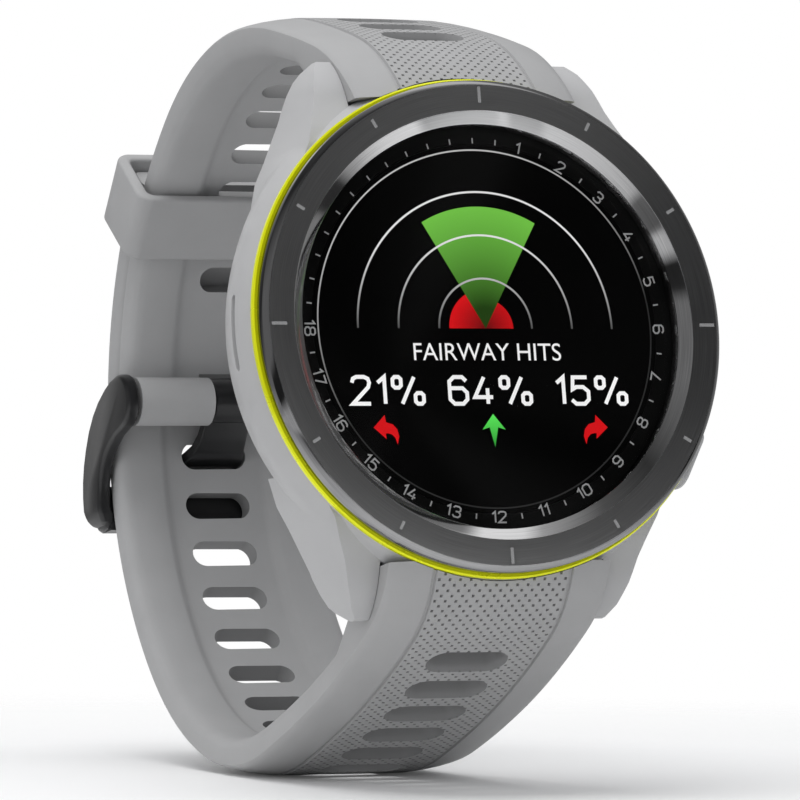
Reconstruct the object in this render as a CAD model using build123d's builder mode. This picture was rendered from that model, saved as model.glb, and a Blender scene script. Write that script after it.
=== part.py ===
from build123d import *
from math import cos, radians, sin
import os

# A golf GPS watch standing on its own closed strap, in millimetres.
# +Z is up, +Y runs from the dial to the buckle, +X is the wearer's three o'clock side.
# The watch leans back on its strap, so the dial looks a little upward.

# ---- driving dimensions ----------------------------------------------------

LEAN = 11.0  # degrees the dial leans back from upright
DIAL_X = -0.5  # places the dial centre so that the part's box stands over the origin
DIAL_Y = -33.844
DIAL_Z = 42.896

CASE_R = 23.5  # 47 mm case
WALL_R = 19.6  # inside of the case wall
LUG_TIP = 25.7  # half of the lug-to-lug length
STRAP_HALF = 11.0  # quick-release strap, 22 mm wide at the lugs
LUG_IN = 11.05  # inner face of a lug
LUG_DRAFT = 5.0  # degrees the lugs' flanks spread toward the back
SEAT_HALF = 20.9  # flat of the case behind the strap's end, from the dial centre

BEZEL_R = 22.6
LENS_R = 18.5
SCREEN_R = 17.0
RING_OUT = 23.0  # coloured accent ring
COLLAR_DEPTH = 5.6  # the round collar that hides the strap's end ends here
BACK_DEPTH = 11.2  # underside of the case wall
COVER_DEPTH = 12.5
SENSOR_DEPTH = 14.2  # deepest point of the sensor window
SCREW_RING = 18.4  # radius of the back cover's screws

PIN_R = 0.9  # lug pins
PIN_AT = (8.6, 23.4)  # depth and height of a lug pin
FIT = 0.05  # radial clearance of a running pin

STRAP_THICK = 2.7
STRAP_BACK_HALF = 10.3  # half width of the strap at the buckle
TAPER_FROM = 30.0  # depth where the strap starts to narrow, and where it stops
TAPER_TO = 62.0
SLOT_PITCH = 5.3
SLOT_WIDE = 7.2
SLOT_TALL = 2.8
CROWN = 0.9  # how far the middle of the strap stands out beyond its edges
CROWN_HALF = 6.6
HOLLOW = 0.75  # depth of the channel on the wrist side
HOLLOW_HALF = 5.6
FIRST_SLOT = 11.0  # along the strap, from its lug end
LOWER_SLOTS = 17
UPPER_SLOTS = 12
UPPER_PITCH = 5.2

BUCKLE_PIN = (62.9, 4.0)  # depth and height
BUCKLE_PIN_R = 0.75
BUCKLE_HALF = 12.0
ARM_THICK = 1.4
NOTCH_HALF = 2.6  # notch in the short strap's end, for the tongue
TONGUE_THICK = 1.0
# Middle line of the tongue in the side view: pin, into its slot, out of it, tip.
TONGUE_LINE = (BUCKLE_PIN, (67.0, 0.15), (70.4, -0.95), (73.1, -2.6))

KEEPER_AT = 43.8  # degrees round the strap's back curve
KEEPER_LONG = 6.9
KEEPER_GAP = 0.35
KEEPER_WALL = 1.1
KEEPER_HALF = 12.3

BUTTON_ANGLES = {"upper": 28.0, "middle": 0.0, "lower": -28.0}
BUTTON_DEPTH = 6.6
BUTTON_LONG = 6.2
BUTTON_WIDE = 2.8
BUTTON_OUT = 24.6
STEM_R = 0.9

# ---- planes and paths ------------------------------------------------------

C, S = cos(radians(LEAN)), sin(radians(LEAN))
CENTRE = Vector(DIAL_X, DIAL_Y, DIAL_Z)
# Local x to three o'clock, y to twelve o'clock, z out of the face.
DIAL = Plane(origin=CENTRE, x_dir=(1, 0, 0), z_dir=(0, -C, S))
# The watch seen from the side: local x is depth behind the bezel, y is height.
SIDE = Plane(origin=CENTRE, x_dir=(0, C, -S), z_dir=(1, 0, 0))
DIAL_AXIS = Axis(CENTRE, DIAL.z_dir)


def level(depth):
    """Plane parallel to the glass, the given depth behind the bezel's face."""
    return DIAL.offset(-depth)


def button_plane(angle):
    """Plane square to a button's stem: local x is out of the face, z points out of the case."""
    way = DIAL.x_dir.rotate(DIAL_AXIS, angle)
    return Plane(level(BUTTON_DEPTH).origin, x_dir=DIAL.z_dir, z_dir=way)


def turned(*profile, mode=Mode.ADD):
    """Revolve a closed outline of (depth, radius) points about the dial's axis."""
    with BuildSketch(SIDE) as outline:
        with BuildLine():
            Polyline(*profile, close=True)
        make_face()
    revolve(outline.sketch, axis=DIAL_AXIS, mode=mode)


def block(x_low, x_high, *corners, mode=Mode.ADD):
    """Extrude a side view of (depth, height) corners between two places across the watch."""
    with BuildSketch(SIDE.offset(x_low)) as outline:
        with BuildLine():
            Polyline(*corners, close=True)
        make_face()
    extrude(outline.sketch, amount=x_high - x_low, mode=mode)


def rod(x_low, x_high, spot, radius, mode=Mode.ADD):
    """A round rod across the watch, at a (depth, height) spot."""
    with BuildSketch(SIDE.offset(x_low)) as outline:
        with Locations(spot):
            Circle(radius)
    extrude(outline.sketch, amount=x_high - x_low, mode=mode)


def box_corners(depth_low, depth_high, height_low, height_high):
    """Corners of an upright box in the side view."""
    return (
        (depth_low, height_low),
        (depth_high, height_low),
        (depth_high, height_high),
        (depth_low, height_high),
    )


def along(path, distance, inward=0.0):
    """Spot and heading at a distance along a path of tangent arcs, shifted toward the wrist."""
    (x, y), heading, runs = path
    for length, turn in runs:
        part = min(distance, length)
        radius = length / radians(turn)
        after = heading + turn * part / length
        x += radius * (sin(radians(after)) - sin(radians(heading)))
        y -= radius * (cos(radians(after)) - cos(radians(heading)))
        heading = after
        distance -= part
        if distance <= 0:
            break
    angle = radians(heading)
    return (x - inward * sin(angle), y + inward * cos(angle)), heading


def trace(path, inward, since, until):
    """Draw a path from one distance to another as tangent arcs, shifted toward the wrist."""
    travelled = 0.0
    for length, turn in path[2]:
        first = max(since, travelled)
        last = min(until, travelled + length)
        travelled += length
        if last - first > 1e-6:
            spot, heading = along(path, first, inward)
            way = (cos(radians(heading)), sin(radians(heading)))
            JernArc(spot, way, length / radians(turn) - inward, turn * (last - first) / length)


def path_length(path):
    """Whole length of a path."""
    return sum(length for length, turn in path[2])


def across(path, distance, inward):
    """Plane square to the strap's surface: local x across the watch, y along the strap."""
    (depth, height), heading = along(path, distance, inward)
    way = radians(heading)
    return Plane(
        origin=SIDE.from_local_coords((depth, height, 0)),
        x_dir=(1, 0, 0),
        z_dir=SIDE.from_local_coords((sin(way), -cos(way), 0)) - CENTRE,
    )


# Outer surface of the long strap, from the lower lugs round the back to its free end:
# start, heading and (length, turn) of each arc.
LOWER_PATH = (
    (3.1, -22.2),
    -57.9,
    [(7, 34), (16, 10), (12, 5), (13, 27), (18, 33), (25, 41), (29, 45)],
)
# The free end runs on an arc about this spot, and the short strap lies inside it.
BACK_ARC = LOWER_PATH[2][-1]
BACK_R = BACK_ARC[0] / radians(BACK_ARC[1])
TIP = path_length(LOWER_PATH)
BACK_CENTRE = along(LOWER_PATH, TIP, BACK_R)[0]
STRAP_GAP = 0.2
UPPER_R = BACK_R - STRAP_THICK - STRAP_GAP
UPPER_FROM = 12.0  # degrees round the back curve where the short strap's buckle end starts
UPPER_TURN = 39.3
# Outer surface of the short strap, from its buckle end up and over to the upper lugs.
UPPER_PATH = (
    (
        BACK_CENTRE[0] + UPPER_R * cos(radians(UPPER_FROM)),
        BACK_CENTRE[1] + UPPER_R * sin(radians(UPPER_FROM)),
    ),
    90 + UPPER_FROM,
    [
        (UPPER_R * radians(UPPER_TURN), UPPER_TURN),
        (6.5, 7.5),
        (12.2, 21.8),
        (16.2, 27.1),
        (10.4, 4.9),
        (11.4, 28.5),
    ],
)
UPPER_END = path_length(UPPER_PATH)
# The short strap has a raised middle only where the long strap's free end no longer covers it.
CROWN_END = UPPER_R * radians(UPPER_TURN + 3)

os.makedirs("parts", exist_ok=True)


def finish(piece, name):
    """Label a finished piece and write its STEP file."""
    piece.part.label = name
    export_step(piece.part, f"parts/{name}.step")


# ---- case ------------------------------------------------------------------

# The four lugs: plan outline that widens toward the back, cut to the side view.
with BuildPart() as lugs:
    with BuildSketch(level(2.6)):
        with BuildLine():
            Polyline((LUG_IN, 13), (17.6, 13), (17.2, 14.6), (16.2, 16.6), (15.2, 18.8))
            Polyline((15.2, 18.8), (14.4, 20.6), (13.7, 22.8), (12.9, 24.5), (11.8, LUG_TIP))
            Polyline((11.8, LUG_TIP), (LUG_IN, LUG_TIP), (LUG_IN, 13))
        make_face()
        mirror(about=Plane.YZ)
        mirror(about=Plane.XZ)
    extrude(amount=-(BACK_DEPTH - 2.6), taper=-LUG_DRAFT)
    with BuildSketch(SIDE):
        with BuildLine():
            Polyline((2.2, 10), (2.2, 16.4), (3.7, 19.2), (4.75, 21.6))
            ThreePointArc((4.75, 21.6), (6.0, 23.8), (7.9, LUG_TIP))
            Polyline((7.9, LUG_TIP), (8.8, LUG_TIP), (10.5, 24.2), (11.2, 21.5), (11.2, 10), (2.2, 10))
        make_face()
        mirror(about=Plane.XZ)
    extrude(amount=24, both=True, mode=Mode.INTERSECT)
    for side in (1, -1):
        block(-LUG_IN, LUG_IN, *box_corners(0, 13, side * 12, side * 28), mode=Mode.SUBTRACT)

# Round case wall with a floor-less cavity, the lugs, and flats behind both strap ends.
with BuildPart() as case_shell:
    turned(
        (2.3, 0.0),
        (2.3, 22.9),
        (4.5, CASE_R + 0.1),
        (6.6, CASE_R),
        (9.0, 22.7),
        (BACK_DEPTH, 20.9),
        (BACK_DEPTH, 0.0),
    )
    add(lugs.part)
    for side in (1, -1):
        seat = box_corners(COLLAR_DEPTH, BACK_DEPTH + 1, side * SEAT_HALF, side * 27)
        block(-LUG_IN, LUG_IN, *seat, mode=Mode.SUBTRACT)
    turned(
        (0.0, 0.0),
        (0.0, 21.65),
        (2.65, 21.65),
        (2.65, WALL_R),
        (BACK_DEPTH + 1, WALL_R),
        (BACK_DEPTH + 1, 0.0),
        mode=Mode.SUBTRACT,
    )
    # Holes for the two lug pins.
    for side in (1, -1):
        rod(-13.0, 13.0, (PIN_AT[0], side * PIN_AT[1]), PIN_R, mode=Mode.SUBTRACT)
    # Pockets, bores and clip room for the three buttons on the right flank.
    for angle in BUTTON_ANGLES.values():
        flank = button_plane(angle)
        with BuildSketch(flank.offset(21.7)):
            SlotOverall(BUTTON_LONG + 0.3, BUTTON_WIDE + 0.3, rotation=90)
        extrude(amount=4, mode=Mode.SUBTRACT)
        with BuildSketch(flank.offset(18)):
            Circle(STEM_R + FIT)
        extrude(amount=5, mode=Mode.SUBTRACT)
    # Slot of the pressure sensor's vent in the left flank.
    vent_plane = Plane(level(5.0).origin, x_dir=DIAL.y_dir, z_dir=-DIAL.x_dir)
    with BuildSketch(vent_plane.offset(18)):
        SlotOverall(7.0, 0.9)
    extrude(amount=7, mode=Mode.SUBTRACT)
    # Four screw bosses inside the wall take the back screws.
    with BuildSketch(level(BACK_DEPTH - 0.4)):
        with PolarLocations(SCREW_RING, 4, start_angle=45):
            Circle(1.5)
    extrude(amount=5)
    with BuildSketch(level(BACK_DEPTH)):
        with PolarLocations(SCREW_RING, 4, start_angle=45):
            Circle(0.6)
    extrude(amount=5, mode=Mode.SUBTRACT)
finish(case_shell, "case_shell")

# Steel bezel: flat front ring, bevel down to the glass, skirt and inner step over the glass flange.
with BuildPart() as bezel:
    turned(
        (0.75, LENS_R + 0.05),
        (0.0, 19.7),
        (0.0, 22.15),
        (0.45, BEZEL_R),
        (1.7, BEZEL_R),
        (1.7, 21.6),
        (2.6, 21.6),
        (2.6, 20.8),
        (2.25, 20.8),
        (2.25, 19.65),
        (1.25, 19.65),
        (1.25, LENS_R + 0.05),
    )
    # Twelve filled index cuts, every third one longer.
    for hour in range(12):
        long_cut = 1.5 if hour % 3 == 0 else 0.85
        with BuildSketch(DIAL):
            with PolarLocations(21.17, 1, start_angle=30 * hour):
                Rectangle(long_cut, 0.32)
        extrude(amount=-0.15, mode=Mode.SUBTRACT)
finish(bezel, "bezel")

# Light filler set flush in the bezel's index cuts.
with BuildPart() as bezel_indices:
    for hour in range(12):
        long_cut = 1.5 if hour % 3 == 0 else 0.85
        with BuildSketch(level(0.02)):
            with PolarLocations(21.17, 1, start_angle=30 * hour):
                Rectangle(long_cut, 0.32)
        extrude(amount=-0.13)
finish(bezel_indices, "bezel_indices")

# Coloured ring clamped between the bezel's skirt and the case collar.
with BuildPart() as accent_ring:
    turned((1.72, 21.62), (1.72, RING_OUT - 0.15), (1.9, RING_OUT), (2.28, RING_OUT), (2.28, 21.62))
finish(accent_ring, "accent_ring")

# Seal between the bezel's foot and the case seat.
with BuildPart() as bezel_seal:
    turned((2.3, 19.7), (2.3, 20.7), (2.62, 20.7), (2.62, 19.7))
finish(bezel_seal, "bezel_seal")

# Cover glass with a flange held under the bezel.
with BuildPart() as crystal:
    turned((0.75, 0), (0.75, LENS_R - 0.1), (0.85, LENS_R), (1.3, LENS_R), (1.3, 19.6), (2.2, 19.6), (2.2, 0))
finish(crystal, "crystal")

# Black printed ring with the hole numbers, round the screen.
with BuildPart() as dial_ring:
    turned((2.25, SCREEN_R + 0.05), (2.25, 19.3), (2.45, 19.3), (2.45, SCREEN_R + 0.05))
finish(dial_ring, "dial_ring")

# Round screen module with its folded ribbon tab.
with BuildPart() as display_panel:
    turned((2.25, 0), (2.25, SCREEN_R), (3.4, SCREEN_R), (3.4, 0))
    with BuildSketch(level(3.4)):
        with Locations((0, -12.5)):
            Rectangle(9, 3)
    extrude(amount=-0.45)
finish(display_panel, "display_panel")

# Aerial ring under the bezel, on its plastic carrier.
with BuildPart() as antenna_ring:
    turned((2.7, 17.4), (2.7, 19.4), (3.7, 19.4), (3.7, 17.4))
finish(antenna_ring, "antenna_ring")

# Chassis that holds the board above the battery: rim, floor and a battery well.
with BuildPart() as inner_frame:
    turned((3.9, 0), (3.9, 18.6), (9.3, 18.6), (9.3, 0))
    turned((3.8, 0), (3.8, 17.6), (5.2, 17.6), (5.2, 0), mode=Mode.SUBTRACT)
    with BuildSketch(level(5.6)):
        with Locations((2.5, 0)):
            RectangleRounded(21.4, 20.4, 2)
    extrude(amount=-5, mode=Mode.SUBTRACT)
    with BuildSketch(level(5.6)):
        with Locations((-12.7, 0)):
            Circle(4.15)
    extrude(amount=-5, mode=Mode.SUBTRACT)
    for angle in BUTTON_ANGLES.values():
        flank = button_plane(angle)
        with BuildSketch(flank.offset(15.3)):
            Rectangle(4.4, 5.4)
        extrude(amount=5, mode=Mode.SUBTRACT)
    # Corners cleared for the screw bosses of the case.
    with BuildSketch(level(5.5)):
        with PolarLocations(SCREW_RING, 4, start_angle=45):
            Circle(1.8)
    extrude(amount=-5, mode=Mode.SUBTRACT)
finish(inner_frame, "inner_frame")

# Round main board with its shielded chips.
with BuildPart() as main_board:
    turned((4.3, 0), (4.3, 17.4), (5.1, 17.4), (5.1, 0))
    with BuildSketch(level(4.3)):
        with Locations((-6, 6), (6, 6)):
            Rectangle(9, 8)
        with Locations((0, -4)):
            Rectangle(7, 7)
    extrude(amount=0.4)
finish(main_board, "main_board")

# Lithium cell in the well of the chassis.
with BuildPart() as battery:
    with BuildSketch(level(5.8)):
        with Locations((2.5, 0)):
            RectangleRounded(21, 20, 1.8)
    extrude(amount=-3.2)
finish(battery, "battery")

# Coin vibration motor.
with BuildPart() as vibration_motor:
    with BuildSketch(level(5.8)):
        with Locations((-12.7, 0)):
            Circle(4.0)
    extrude(amount=-2.6)
finish(vibration_motor, "vibration_motor")

# Mesh behind the vent slot, and the pressure sensor that reads through it.
with BuildPart() as vent_mesh:
    with BuildSketch(vent_plane.offset(20.4)):
        SlotOverall(6.9, 0.8)
    extrude(amount=1.2)
finish(vent_mesh, "vent_mesh")

# ---- back ------------------------------------------------------------------

# Back cover with a window opening, countersunk screw seats and a charging pocket.
with BuildPart() as back_cover:
    turned(
        (BACK_DEPTH + 0.05, 8.6),
        (BACK_DEPTH + 0.05, 20.8),
        (COVER_DEPTH - 0.5, 20.4),
        (COVER_DEPTH, 19.7),
        (COVER_DEPTH, 8.6),
    )
    with BuildSketch(level(COVER_DEPTH)):
        with PolarLocations(SCREW_RING, 4, start_angle=45):
            Circle(1.15)
    extrude(amount=0.6, mode=Mode.SUBTRACT)
    with BuildSketch(level(COVER_DEPTH)):
        with PolarLocations(SCREW_RING, 4, start_angle=45):
            Circle(0.65)
    extrude(amount=3, mode=Mode.SUBTRACT)
    # Pocket of the charging plug, below the window.
    with BuildSketch(level(COVER_DEPTH)):
        with Locations((0, -14.2)):
            SlotOverall(8.4, 3.4)
    extrude(amount=0.7, mode=Mode.SUBTRACT)
    with BuildSketch(level(COVER_DEPTH)):
        with Locations((0, -14.2)):
            with GridLocations(1.8, 1, 4, 1):
                Circle(0.45)
    extrude(amount=3, mode=Mode.SUBTRACT)
finish(back_cover, "back_cover")

# Four plated charging contacts.
with BuildPart() as charge_contacts:
    with BuildSketch(level(COVER_DEPTH - 0.5)):
        with Locations((0, -14.2)):
            with GridLocations(1.8, 1, 4, 1):
                Circle(0.43)
    extrude(amount=1.6)
finish(charge_contacts, "charge_contacts")

# Seal ring in the mouth of the case.
with BuildPart() as back_seal:
    turned((BACK_DEPTH - 1.0, 16.0), (BACK_DEPTH - 1.0, 16.6), (BACK_DEPTH, 16.6), (BACK_DEPTH, 16.0))
finish(back_seal, "back_seal")

# Four countersunk back screws.
with BuildPart() as back_screws:
    with BuildSketch(level(COVER_DEPTH - 0.1)):
        with PolarLocations(SCREW_RING, 4, start_angle=45):
            Circle(1.1)
    extrude(amount=0.5)
    with BuildSketch(level(COVER_DEPTH - 0.6)):
        with PolarLocations(SCREW_RING, 4, start_angle=45):
            Circle(0.58)
    extrude(amount=3.6)
    with BuildSketch(level(COVER_DEPTH - 0.1)):
        with PolarLocations(SCREW_RING, 4, start_angle=45):
            RegularPolygon(0.45, 6)
    extrude(amount=0.3, mode=Mode.SUBTRACT)
finish(back_screws, "back_screws")

# Domed clear window over the optical heart-rate sensor.
with BuildPart() as sensor_window:
    turned(
        (BACK_DEPTH + 0.4, 0),
        (BACK_DEPTH + 0.4, 8.5),
        (COVER_DEPTH + 0.02, 8.5),
        (COVER_DEPTH + 0.02, 10.4),
        (SENSOR_DEPTH - 0.4, 9.6),
        (SENSOR_DEPTH, 8.2),
        (SENSOR_DEPTH, 0),
    )
finish(sensor_window, "sensor_window")

# Sensor board with light sources and photodiodes.
with BuildPart() as sensor_board:
    turned((9.7, 0), (9.7, 12.0), (10.3, 12.0), (10.3, 0))
    with BuildSketch(level(10.3)):
        with PolarLocations(5.4, 4, start_angle=45):
            Rectangle(2.2, 2.2)
        Rectangle(2.6, 2.6)
    extrude(amount=-0.6)
finish(sensor_board, "sensor_board")

# ---- buttons ---------------------------------------------------------------

for place, angle in BUTTON_ANGLES.items():
    flank = button_plane(angle)
    # Cap and stem turned in one piece, with a groove for the clip.
    with BuildPart() as button:
        with BuildSketch(flank.offset(22.3)):
            SlotOverall(BUTTON_LONG, BUTTON_WIDE, rotation=90)
        extrude(amount=BUTTON_OUT - 22.3)
        chamfer(button.edges().group_by(Axis(CENTRE, flank.z_dir))[-1], 0.3)
        with BuildSketch(flank.offset(18.2)):
            Circle(STEM_R)
        extrude(amount=4.4)
        with BuildSketch(flank.offset(19.0)):
            Circle(STEM_R)
            Circle(STEM_R - 0.25, mode=Mode.SUBTRACT)
        extrude(amount=0.4, mode=Mode.SUBTRACT)
    finish(button, f"{place}_button")
    # Spring clip that keeps the stem in the wall.
    with BuildPart() as clip:
        with BuildSketch(flank.offset(19.02)):
            Circle(1.6)
            Circle(STEM_R - 0.23, mode=Mode.SUBTRACT)
            with Locations((0, -1.2)):
                Rectangle(1.0, 1.6, mode=Mode.SUBTRACT)
        extrude(amount=0.34)
    finish(clip, f"{place}_button_clip")

# Side switches behind the three stems, on one flexible strip.
with BuildPart() as button_switches:
    for angle in BUTTON_ANGLES.values():
        flank = button_plane(angle)
        with BuildSketch(flank.offset(16.2)):
            Rectangle(2.8, 3.6)
        extrude(amount=1.2)
        with BuildSketch(flank.offset(17.4)):
            Circle(0.8)
        extrude(amount=0.28)
finish(button_switches, "button_switches")

# ---- straps ----------------------------------------------------------------


def strap_plan():
    """Cut a strap to its plan: full width at the lugs, narrower toward the buckle."""
    with BuildSketch(Plane(CENTRE, x_dir=(1, 0, 0), z_dir=SIDE.y_dir)) as plan:
        with BuildLine():
            Polyline(
                (-STRAP_HALF, -20),
                (-STRAP_HALF, TAPER_FROM),
                (-STRAP_BACK_HALF, TAPER_TO),
                (-STRAP_BACK_HALF, 90),
                (STRAP_BACK_HALF, 90),
                (STRAP_BACK_HALF, TAPER_TO),
                (STRAP_HALF, TAPER_FROM),
                (STRAP_HALF, -20),
                close=True,
            )
        make_face()
    extrude(plan.sketch, amount=60, both=True, mode=Mode.INTERSECT)


def lug_end(side):
    """Cut the collar clearance, the pin seat and the latch pocket into a strap's lug end."""
    with BuildSketch(level(-2)) as collar:
        Circle(CASE_R + 0.35)
    extrude(collar.sketch, amount=-(2 + COLLAR_DEPTH + 0.3), mode=Mode.SUBTRACT)
    pin = (PIN_AT[0], side * PIN_AT[1])
    rod(-12, 12, pin, PIN_R + FIT, mode=Mode.SUBTRACT)
    mouth = box_corners(PIN_AT[0], 13, side * (PIN_AT[1] - PIN_R - FIT), side * (PIN_AT[1] + PIN_R + FIT))
    block(-12, 12, *mouth, mode=Mode.SUBTRACT)
    pocket = box_corners(9.75, 11.0, side * 22.3, side * 26.2)
    block(-4.1, 4.1, *pocket, mode=Mode.SUBTRACT)
    window = box_corners(10.8, 17, side * 23.9, side * 26.2)
    block(-2.5, 2.5, *window, mode=Mode.SUBTRACT)
    # Two blind wells for the latch springs.
    for low in (-3.7, 2.75):
        well = box_corners(9.85, 10.85, side * 26.1, side * 26.8)
        block(low, low + 0.95, *well, mode=Mode.SUBTRACT)


def band(path, outer, inner, since, until, half, mode=Mode.ADD):
    """A stretch of a strap's path as a band, between two shifts toward the wrist."""
    with BuildSketch(SIDE) as outline:
        with BuildLine():
            trace(path, outer, since, until)
            Line(along(path, until, outer)[0], along(path, until, inner)[0])
            trace(path, inner, since, until)
            Line(along(path, since, inner)[0], along(path, since, outer)[0])
        make_face()
    extrude(outline.sketch, amount=half, both=True, mode=mode)


def crown(path, since, until):
    """Raise the middle of a strap's outer face."""
    band(path, -CROWN, 1.0, since, until, CROWN_HALF)


def hollow(path, since, until):
    """Sink a channel into a strap's wrist side."""
    band(path, STRAP_THICK - HOLLOW, STRAP_THICK + 1.0, since, until, HOLLOW_HALF, Mode.SUBTRACT)


def slots(path, first, pitch, count):
    """Cut a row of holes through a strap. The first is a blind recess over the latch."""
    for index in range(count):
        with BuildSketch(across(path, first + pitch * index, -3)) as hole:
            SlotOverall(SLOT_WIDE, SLOT_TALL)
        deep = 3.7 if index == 0 else 3 + STRAP_THICK + 1.5
        extrude(hole.sketch, amount=-deep, mode=Mode.SUBTRACT)


# Long strap with holes, from the lower lugs round the back to its free tip.
LONG_FROM = 15.0
with BuildPart() as lower_strap:
    with BuildSketch(SIDE):
        with BuildLine():
            trace(LOWER_PATH, 0.0, 0.0, TIP)
            tip_outer = along(LOWER_PATH, TIP)[0]
            tip_end = along(LOWER_PATH, TIP, STRAP_THICK)[0]
            Line(tip_outer, tip_end)
            trace(LOWER_PATH, STRAP_THICK, LONG_FROM, TIP)
            heel = along(LOWER_PATH, LONG_FROM, STRAP_THICK)[0]
            Polyline(heel, (11.3, -22.4), (11.3, -SEAT_HALF - 0.4), (3.1, -SEAT_HALF - 0.4), LOWER_PATH[0])
        make_face()
    extrude(amount=STRAP_HALF, both=True)
    strap_plan()
    crown(LOWER_PATH, 2.0, 50.0)
    hollow(LOWER_PATH, 16.0, TIP - 5.0)
    slots(LOWER_PATH, FIRST_SLOT, SLOT_PITCH, LOWER_SLOTS)
    lug_end(-1)
finish(lower_strap, "lower_strap")

# Short strap, from the buckle pin over the top to the upper lugs.
SHORT_TO = UPPER_END - 15.0
with BuildPart() as upper_strap:
    with BuildSketch(SIDE):
        with BuildLine():
            trace(UPPER_PATH, 0.0, 0.0, UPPER_END)
            Polyline(along(UPPER_PATH, UPPER_END)[0], (3.1, SEAT_HALF + 0.4))
            Polyline((3.1, SEAT_HALF + 0.4), (11.3, SEAT_HALF + 0.4), (11.3, 22.4))
            Line((11.3, 22.4), along(UPPER_PATH, SHORT_TO, STRAP_THICK)[0])
            trace(UPPER_PATH, STRAP_THICK, 0.0, SHORT_TO)
            buckle_end = along(UPPER_PATH, 0, STRAP_THICK)[0]
            Line(buckle_end, along(UPPER_PATH, 0)[0])
        make_face()
        # The strap's end thins in to a round boss about the buckle pin.
        with BuildLine():
            Polyline(
                along(UPPER_PATH, 0.6)[0],
                (BUCKLE_PIN[0] + 2.35, BUCKLE_PIN[1]),
                (BUCKLE_PIN[0] - 2.2, BUCKLE_PIN[1] - 0.3),
                along(UPPER_PATH, 0.6, STRAP_THICK)[0],
                close=True,
            )
        make_face()
        with Locations(BUCKLE_PIN):
            Circle(2.35)
            Circle(BUCKLE_PIN_R, mode=Mode.SUBTRACT)
    extrude(amount=STRAP_HALF, both=True)
    strap_plan()
    crown(UPPER_PATH, CROWN_END, UPPER_END - 2.0)
    hollow(UPPER_PATH, 8.0, UPPER_END - 16.0)
    slots(UPPER_PATH, UPPER_END - FIRST_SLOT, -UPPER_PITCH, UPPER_SLOTS)
    # Notch for the tongue.
    notch = box_corners(BUCKLE_PIN[0] - 4, BUCKLE_PIN[0] + 5, BUCKLE_PIN[1] - 4, BUCKLE_PIN[1] + 3)
    block(-NOTCH_HALF, NOTCH_HALF, *notch, mode=Mode.SUBTRACT)
    lug_end(1)
finish(upper_strap, "upper_strap")

for side, place in ((1, "upper"), (-1, "lower")):
    # Fixed steel pin between a pair of lugs.
    with BuildPart() as lug_pin:
        rod(-12.9, 12.9, (PIN_AT[0], side * PIN_AT[1]), PIN_R)
    finish(lug_pin, f"{place}_lug_pin")
    # Quick-release latch that closes the pin seat, with its thumb tab.
    with BuildPart() as latch:
        block(-4.0, 4.0, *box_corners(9.85, 10.85, side * 22.6, side * 24.9))
        block(-2.4, 2.4, *box_corners(10.85, 14.4, side * 24.05, side * 24.9))
    finish(latch, f"{place}_latch")
    # Pair of small coil springs behind the latch, as tubes of their outer size.
    with BuildPart() as latch_springs:
        spring_plane = Plane(
            origin=SIDE.from_local_coords((10.35, side * 24.95, 0)),
            x_dir=(1, 0, 0),
            z_dir=SIDE.y_dir * side,
        )
        with BuildSketch(spring_plane):
            with Locations((-3.22, 0), (3.22, 0)):
                Circle(0.42)
                Circle(0.26, mode=Mode.SUBTRACT)
        extrude(amount=1.8)
    finish(latch_springs, f"{place}_latch_springs")

# Moulded loop that slides round both straps, on the strap's back curve.
with BuildPart() as keeper:
    loop_in = UPPER_R - STRAP_THICK - KEEPER_GAP
    loop_out = BACK_R + KEEPER_GAP
    ray = radians(KEEPER_AT)
    back_centre = SIDE.from_local_coords((BACK_CENTRE[0], BACK_CENTRE[1], 0))
    keeper_plane = Plane(
        origin=back_centre,
        x_dir=(1, 0, 0),
        z_dir=SIDE.from_local_coords((-sin(ray), cos(ray), 0)) - CENTRE,
    )
    with BuildSketch(keeper_plane):
        with Locations((0, (loop_in + loop_out) / 2)):
            RectangleRounded(2 * KEEPER_HALF, loop_out - loop_in + 2 * KEEPER_WALL, 1.5)
            RectangleRounded(2 * KEEPER_HALF - 2.4, loop_out - loop_in, 0.7, mode=Mode.SUBTRACT)
    extrude(amount=KEEPER_LONG / 2, both=True)
finish(keeper, "keeper")

# ---- buckle ----------------------------------------------------------------

BAR_LINE = LOWER_PATH[2][5]  # the arc of the long strap that lies under the buckle's bar
BAR_R = BAR_LINE[0] / radians(BAR_LINE[1]) + 0.35
BAR_CENTRE = along(LOWER_PATH, TIP - LOWER_PATH[2][6][0], BAR_LINE[0] / radians(BAR_LINE[1]))[0]
BAR_LOW = -7.9  # lowest height of the bar


def tongue_side(rise):
    """The tongue's middle line, moved up by rise."""
    return [(depth, height + rise) for depth, height in TONGUE_LINE]


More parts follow.
